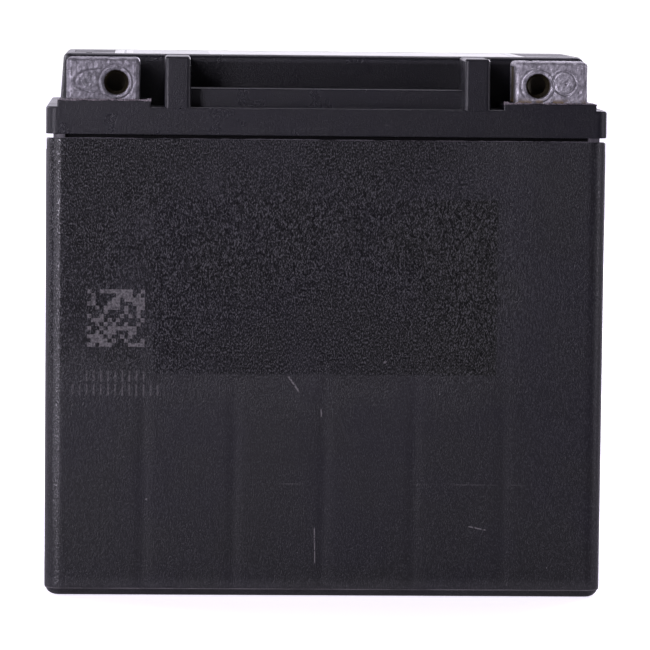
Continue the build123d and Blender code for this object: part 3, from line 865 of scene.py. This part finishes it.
def flash(name, side):
    """A ragged line of moulding flash along a pedestal's front edge, curled at its inner end."""
    start, end = sorted((side * PEDESTAL_INNER, side * PEDESTAL_OUTER))
    count = round((end - start) / FLASH_STEP)
    y, z = FRONT, PEDESTAL_TOP
    rings = []
    height, lean = FLASH_TALLEST / 2, 0.0
    for i in range(count + 1):
        height += rng.uniform(-FLASH_JITTER, FLASH_JITTER) * FLASH_TALLEST
        height = min(FLASH_TALLEST, max(FLASH_LOWEST, height))
        lean += rng.uniform(-LEAN_JITTER, LEAN_JITTER)
        lean = min(LEAN_MOST, max(-LEAN_MOST, lean))
        fade = min(1.0, i / 3, (count - i) / 3)
        top = z + (height * fade if i % FLASH_GAP else 0.05)
        x = start + i * FLASH_STEP
        from_inner = (end - x) if side < 0 else (x - start)
        curl = max(0.0, 1 - from_inner / CURL_LENGTH) ** 2 * CURL_HEIGHT
        tip = (x, y + 0.2 + lean - curl * 0.5, max(top, z - 0.05) + curl)
        rings.append([(x, y + 0.02, z - 0.35), (x, y + 0.40, z - 0.12 + curl * 0.7), tip])
    return lofted(name, rings, 60)


def rim_flash():
    """A thin ragged lip along the top front edge of the case, under the groove."""
    half, low = case_high.x - CASE_CORNER, case_high.z - 0.25
    count = round(2 * half / RIM_STEP)
    rings = []
    height = RIM_TALLEST / 2
    for i in range(count + 1):
        height += rng.uniform(-RIM_JITTER, RIM_JITTER)
        height = min(RIM_TALLEST, max(RIM_LOWEST, height))
        x = -half + i * RIM_STEP
        top = case_high.z + height * min(1.0, i / 3, (count - i) / 3)
        rings.append([(x, FRONT + 0.04, low), (x, FRONT + 0.5, low), (x, FRONT + 0.16, top)])
    return lofted("case_rim_flash", rings, 60)


def groove_tab(name, side):
    """A short tab that closes the groove beside a front corner and follows the case's rounding."""
    core_x, core_y = case_high.x - CASE_CORNER, FRONT + CASE_CORNER
    front_line = []
    for i in range(TAB_STEPS + 1):
        x = TAB_INNER + (TAB_OUTER - TAB_INNER) * i / TAB_STEPS
        over = max(0.0, x - core_x)
        y = core_y - math.sqrt(CASE_CORNER**2 - over**2) + TAB_SETBACK
        front_line.append((side * x, y))
    back_line = [(side * TAB_OUTER, FRONT + TAB_DEPTH), (side * TAB_INNER, FRONT + TAB_DEPTH)]
    rings = between(front_line + back_line, case_high.z - 0.05, SKIRT_BOTTOM + 0.1)
    return lofted(name, rings, 40)


# ---- terminals
TERMINAL_VOXEL = 0.2
BOLT_HOLE = 3.3
HOLE_BEVEL = 0.22
HOLE_BEVEL_WIDTH = 0.30
CLOUD_WAVES, CLOUD_GAIN = 14, 1.6
# a washer's imprint at each side: X, height over the hole's level, squeeze along X, depth
IMPRINTS = {-1: (-60.6, 0.3, 0.47, 0.12), 1: (63.4, 0.8, 1.0, 0.20)}
# dents at each side: X, height over the hole's level, inner and outer radius, depth
DENTS = {
    -1: ((block_low.x + 0.8, -0.7, 0.2, 0.9, 0.35),),
    1: ((63.9, 0.8, 0.15, 0.6, 0.50), (67.4, -1.5, 0.1, 0.5, 0.25)),
}


def sunk(distance, inner, outer, depth):
    """How far a round dent presses in, full inside its inner radius and none past its outer one."""
    t = np.clip((distance - inner) / (outer - inner), 0, 1)
    return depth * (1 - t * t * (3 - 2 * t))


def cloud(points, size, seed):
    """Smooth pseudo-random values from -1 to 1, a sum of sines in random directions."""
    draws = random.Random(seed)
    total = np.zeros(len(points))
    for _ in range(CLOUD_WAVES):
        direction = np.array([draws.gauss(0, 1) for _ in range(3)])
        direction *= draws.uniform(0.7, 1.9) / (np.linalg.norm(direction) * size)
        total += np.sin(points @ direction * math.tau + draws.uniform(0, math.tau))
    return total / CLOUD_WAVES * CLOUD_GAIN


def front_relief(points, side, level):
    """How far a terminal's front is pressed in by its hole's bevel, washer rings and dents."""
    x, _, z = points.T
    from_hole = np.hypot(x - side * BOLT_PLACE, z - level)
    place, height, squeeze, depth = IMPRINTS[side]
    from_washer = np.hypot((x - place) * squeeze, z - level - height)
    from_washer += 0.25 * cloud(points, 5.0, 31)
    inward = sunk(from_hole, BOLT_HOLE - 0.1, BOLT_HOLE + HOLE_BEVEL_WIDTH, HOLE_BEVEL)
    for distance, radius, width, sink in (
        (from_hole, BOLT_HOLE + 1.25, 0.28, 0.12),
        (from_hole, BOLT_HOLE + 0.85, 0.25, -0.08),
        (from_washer, 3.1, 0.24, depth),
        (from_washer, 3.6, 0.25, -depth / 2),
    ):
        inward += sink * np.exp(-(((distance - radius) / width) ** 2))
    inward += sunk(from_washer, 1.8, 3.0, 0.06)
    for place, height, inner, outer, depth in DENTS[side]:
        inward += sunk(np.hypot(x - place, z - level - height), inner, outer, depth)
    return inward


def vertex_rows(mesh, name):
    """One vector for each vertex of a mesh, as the rows of an array."""
    flat = np.empty(len(mesh.vertices) * 3, np.float32)
    mesh.vertices.foreach_get(name, flat)
    return flat.reshape(-1, 3).astype(float)


def terminal_piece(pole, side):
    """A cast lead terminal: softened by wear, with washer rings, dents and a bevelled hole."""
    piece = copy_of(f"{pole}_terminal", f"{pole}_terminal_block")
    remesh = piece.modifiers.new("cast", "REMESH")
    remesh.mode = "VOXEL"
    remesh.voxel_size = TERMINAL_VOXEL * MM
    bake(piece)
    low, high = millimetres(f"{pole}_terminal")
    level = high.z - BOLT_BELOW_TOP
    points = vertex_rows(piece.data, "co") / MM
    normals = vertex_rows(piece.data, "normal")
    x, y, z = points.T
    # the skin is all outer faces but the foot in the lid
    on_front = (y < low.y + 0.35) & (normals[:, 1] < -0.3)
    skin = on_front | (z > high.z - 0.4) | (y > high.y - 0.4) | (side * x > 69.2)
    skin &= (np.abs(x) < abs(low.x + high.x) / 2 + 9.9) & (z > PEDESTAL_TOP + 0.3)
    uneven = 0.08 * cloud(points, 2.2, 5 + side) + 0.05 * cloud(points, 0.8, 9 + side)
    moved = points + normals * (uneven * skin)[:, None]
    moved[:, 1] += front_relief(points, side, level) * on_front
    piece.data.vertices.foreach_set("co", (moved * MM).astype(np.float32).ravel())
    piece.data.update()
    shade(piece, 50)
    return piece


# ---- nuts
THREAD_PITCH = 1.0
THREAD_MINOR, THREAD_MAJOR = 2.5, 2.98
THREAD_SIDES = 64
THREAD_STEP = 0.0625
COUNTERSINK = 0.22
NUT_CORNER = 0.5
NUT_CHAMFER = 0.6
NUT_BREAK = 0.15


def nut_piece(pole):
    """A square nut with a real helical thread, countersunk at both ends."""
    low, high = millimetres(f"{pole}_terminal_nut")
    centre_x, centre_z = (low.x + high.x) / 2, (low.z + high.z) / 2
    half = (high.x - low.x) / 2
    turns = [math.tau * k / THREAD_SIDES for k in range(THREAD_SIDES)]

    def bore_radius(angle, y):
        phase = (y / THREAD_PITCH + angle / math.tau) % 1.0
        # a flat 0.2 pitch wide at the major radius, and flanks that meet at the minor one
        tooth = min(1.0, max(0.0, 1.25 - 2.5 * abs(phase - 0.5)))
        radius = THREAD_MINOR + (THREAD_MAJOR - THREAD_MINOR) * tooth
        from_end = min(y - low.y, high.y - y)
        return max(radius, THREAD_MAJOR + COUNTERSINK - from_end)

    def square_point(angle, size):
        direction = Vector((math.cos(angle), math.sin(angle)))
        point = direction * (size / max(abs(direction.x), abs(direction.y)))
        limit = size - NUT_CORNER
        if min(abs(point.x), abs(point.y)) > limit:
            core = Vector((math.copysign(limit, point.x), math.copysign(limit, point.y)))
            point = core + (point - core).normalized() * NUT_CORNER
        return point

    rings = []
    count = round((high.y - low.y) / THREAD_STEP)
    for i in range(count + 1):
        y = low.y + (high.y - low.y) * i / count
        ring = []
        for t in turns:
            radius = bore_radius(t, y)
            ring.append((centre_x + radius * math.cos(t), y, centre_z + radius * math.sin(t)))
        rings.append(ring)
    outer = (
        (high.y, half - NUT_CHAMFER),
        (high.y - NUT_CHAMFER * 0.6, half),
        (low.y + NUT_BREAK, half),
        (low.y, half - NUT_BREAK),
    )
    for y, size in outer:
        square = [square_point(t, size) for t in turns]
        rings.append([(centre_x + p.x, y, centre_z + p.y) for p in square])
    rings.append(rings[0])
    bm = bmesh.new()
    rows = loft(bm, rings, closed_ends=False)
    bmesh.ops.remove_doubles(bm, verts=rows[0] + rows[-1], dist=1e-6)
    piece = new_object(f"{pole}_nut_threaded", bm)
    shade(piece, 35)
    return piece


# ---- label
LABEL_CORNER = 2.0
LABEL_STEP = 1.0
LABEL_RIPPLE = 0.012
SEAM_SINK = 0.05
SEAM_WIDTH = 0.7


def label_piece():
    """The label: a thin film that sinks a little over the seams of the cover beneath it."""
    half_x, half_y = (label_high.x - label_low.x) / 2, (label_high.y - label_low.y) / 2
    middle = Vector(((label_low.x + label_high.x) / 2, (label_low.y + label_high.y) / 2))
    bm = bmesh.new()
    count_x, count_y = round(2 * half_x / LABEL_STEP), round(2 * half_y / LABEL_STEP)
    grid = {}
    for i in range(count_x + 1):
        for j in range(count_y + 1):
            p = Vector((-half_x + 2 * half_x * i / count_x, -half_y + 2 * half_y * j / count_y))
            core = Vector((half_x - LABEL_CORNER, half_y - LABEL_CORNER))
            over = Vector((abs(p.x) - core.x, abs(p.y) - core.y))
            if over.x > 0 and over.y > 0:
                reach = max(over.x, over.y) / over.length
                x = math.copysign(core.x + over.x * reach, p.x)
                p = Vector((x, math.copysign(core.y + over.y * reach, p.y)))
            y = middle.y + p.y
            seam = min(abs(y - cover_low.y), abs(y - cover_high.y))
            ripple = math.sin(0.31 * p.x + 0.13 * p.y) * math.sin(0.23 * p.y + 1.0)
            sink = SEAM_SINK * math.exp(-((seam / SEAM_WIDTH) ** 2))
            top = label_high.z + LABEL_RIPPLE * ripple - sink
            grid[i, j, 1] = bm.verts.new((middle.x + p.x, y, top))
            grid[i, j, 0] = bm.verts.new((middle.x + p.x, y, label_low.z))
    for i in range(count_x):
        for j in range(count_y):
            around = ((i, j), (i + 1, j), (i + 1, j + 1), (i, j + 1))
            for level in (0, 1):
                bm.faces.new([grid[*corner, level] for corner in around])
    rim = [(i, 0) for i in range(count_x)] + [(count_x, j) for j in range(count_y)]
    rim += [(count_x - i, count_y) for i in range(count_x)]
    rim += [(0, count_y - j) for j in range(count_y)]
    for k, here in enumerate(rim):
        there = rim[(k + 1) % len(rim)]
        bm.faces.new((grid[*here, 0], grid[*there, 0], grid[*there, 1], grid[*here, 1]))
    piece = new_object("blank_label", bm)
    shade(piece, 40)
    return piece


# ---- build
# every CAD piece gets its look; some are then replaced by the pieces below
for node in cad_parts.values():
    slot = node.material_slots[0].material.name.split(".")[0]
    for holder in node.material_slots:
        holder.material = materials[slot]

torn_look = flash_plastic("flash_plastic", 0.6)
settle(case_piece(), "case_plastic", "case")
rim_look = flash_plastic("rim_flash_plastic", 0.12)
settle(rim_flash(), "case_plastic", look=rim_look)
settle(lid_piece(), "lid_plastic", "lid")
settle(label_piece(), "label_film", "top_label")
for side, pole, place in ((-1, "positive", "left"), (1, "negative", "right")):
    settle(terminal_piece(pole, side), "terminal_lead", f"{pole}_terminal")
    settle(nut_piece(pole), "nut_steel", f"{pole}_terminal_nut", body=f"{pole}_nut")
    settle(groove_tab(f"groove_tab_{place}", side), "lid_plastic", look=rim_look)
    settle(flash(f"pedestal_flash_{place}", side), "lid_plastic", look=torn_look)


# ---- stage
FLOOR_HALF = 6000
FLOOR_GAP = 0.05
FLOOR_FADE = (250, 1600)
FLOOR_GLOW = 0.75
FLOOR_BOUNCE = 0.14
FLOOR_DIM = (0.30, 0.29, 0.31)
TINT = (1.0, 0.95, 1.10)
# the world's strength, by how straight a direction points away from the camera
WORLD_RAMP = {"From Min": 0.3, "From Max": 0.97, "To Min": 0.035, "To Max": 1.2}
WORLD_SEEN = 1.2
# the soft lights in metres: where they aim, and each one's name, place, size, and power in watts
AIM = Vector((0, 0, 0.07))
LIGHTS = (
    ("key_light", (-0.74, -1.42, 0.50), (0.40, 0.9), 16),
    ("side_light", (-1.6, -0.3, 0.5), (0.8, 0.9), 8),
    ("back_light", (0.75, 1.40, 0.60), (0.60, 0.9), 22),
    ("back_fill", (-1.4, 1.0, 0.60), (0.60, 0.9), 9),
    ("fill_light", (1.55, -0.45, 0.35), (0.6, 0.9), 4.5),
    ("top_light", (0.1, 0.6, 1.9), (1.2, 0.8), 10),
)
# the photo's camera, fitted to the outline of the case and lid; yaw, pitch and roll in degrees
CAMERA_PLACE = Vector((-50.0, -1255.9, 167.9))
CAMERA_TURNS = (2.357, 4.455, 0.597)
CAMERA_LENS, CAMERA_SENSOR = 251.84, 36


def floor_material():
    """Pale studio floor with the faintest unevenness."""
    s = Surface("studio_floor")
    tone = s.ramp(s.noise(220, detail=3), 0.3, 0.7)
    colour = s.blend(tone, (0.80, 0.80, 0.80), (0.83, 0.83, 0.83))
    from_middle = s.node("VectorMath", {"operation": "LENGTH"})
    s.feed(from_middle.inputs[0], s.where)
    far = s.ramp(from_middle.outputs["Value"], *FLOOR_FADE, FLOOR_GLOW, 1.0)
    seen = s.node("LightPath").outputs["Is Camera Ray"]
    colour = s.blend(seen, FLOOR_DIM, colour)
    glow = s.times(far, s.ramp(seen, 0, 1, FLOOR_BOUNCE, 1.0))
    return s.finish(colour, 0.7, Emission_Color=(*TINT, 1), Emission_Strength=glow)


def floor_piece():
    """A wide floor, just under the battery."""
    bm = bmesh.new()
    half, level = FLOOR_HALF, case_low.z - FLOOR_GAP
    corners = ((-half, -half), (half, -half), (half, half), (-half, half))
    bm.faces.new([bm.verts.new((*corner, level)) for corner in corners])
    floor = new_object("studio_floor", bm)
    floor.data.materials.append(floor_material())


def softbox(name, place, size, power):
    """A rectangular soft light aimed at the middle of the battery."""
    lamp = bpy.data.lights.new(name, "AREA")
    lamp.shape = "RECTANGLE"
    lamp.size, lamp.size_y = size
    lamp.energy = power
    lamp.color = TINT
    holder = add_to_scene(name, lamp)
    holder.location = place
    holder.rotation_mode = "QUATERNION"
    holder.rotation_quaternion = (AIM - Vector(place)).to_track_quat("-Z", "Y")


def studio_world():
    """White to the camera, and dimmer, brighter behind the battery, to everything else."""
    world = bpy.data.worlds.new("studio")
    world.use_nodes = True
    scene.world = world
    nodes, link = world.node_tree.nodes, world.node_tree.links.new
    nodes.clear()
    kinds = "OutputWorld MixShader Background Background LightPath MapRange SeparateXYZ TexCoord"
    output, mix, seen, around, path, level, split, coords = [
        nodes.new("ShaderNode" + kind) for kind in kinds.split()
    ]
    seen.inputs["Color"].default_value = (1, 1, 1, 1)
    seen.inputs["Strength"].default_value = WORLD_SEEN
    around.inputs["Color"].default_value = (*TINT, 1)
    for name, number in WORLD_RAMP.items():
        level.inputs[name].default_value = number
    link(coords.outputs["Camera"], split.inputs[0])
    link(split.outputs["Z"], level.inputs["Value"])
    link(level.outputs[0], around.inputs["Strength"])
    link(path.outputs["Is Camera Ray"], mix.inputs[0])
    link(around.outputs[0], mix.inputs[1])
    link(seen.outputs[0], mix.inputs[2])
    link(mix.outputs[0], output.inputs["Surface"])


def studio_camera():
    """A long lens a little left of the battery and above it, with a slight roll."""
    yaw, pitch, roll = (math.radians(turn) for turn in CAMERA_TURNS)
    level = math.cos(pitch)
    forward = Vector((math.sin(yaw) * level, math.cos(yaw) * level, -math.sin(pitch)))
    right = Vector((math.cos(yaw), -math.sin(yaw), 0))
    up = right.cross(forward)
    tilted_right = right * math.cos(roll) + up * math.sin(roll)
    tilted_up = up * math.cos(roll) - right * math.sin(roll)
    turn = Matrix((tilted_right, tilted_up, -forward)).transposed()
    data = bpy.data.cameras.new("camera")
    data.lens = CAMERA_LENS
    data.sensor_width = CAMERA_SENSOR
    data.clip_end = 50
    camera = add_to_scene("camera", data)
    camera.matrix_world = Matrix.Translation(CAMERA_PLACE * MM) @ turn.to_4x4()
    scene.camera = camera


floor_piece()
studio_world()
studio_camera()
for light in LIGHTS:
    softbox(*light)
scene.view_settings.view_transform = "Standard"
scene.view_settings.look = "None"

bpy.context.view_layer.update()
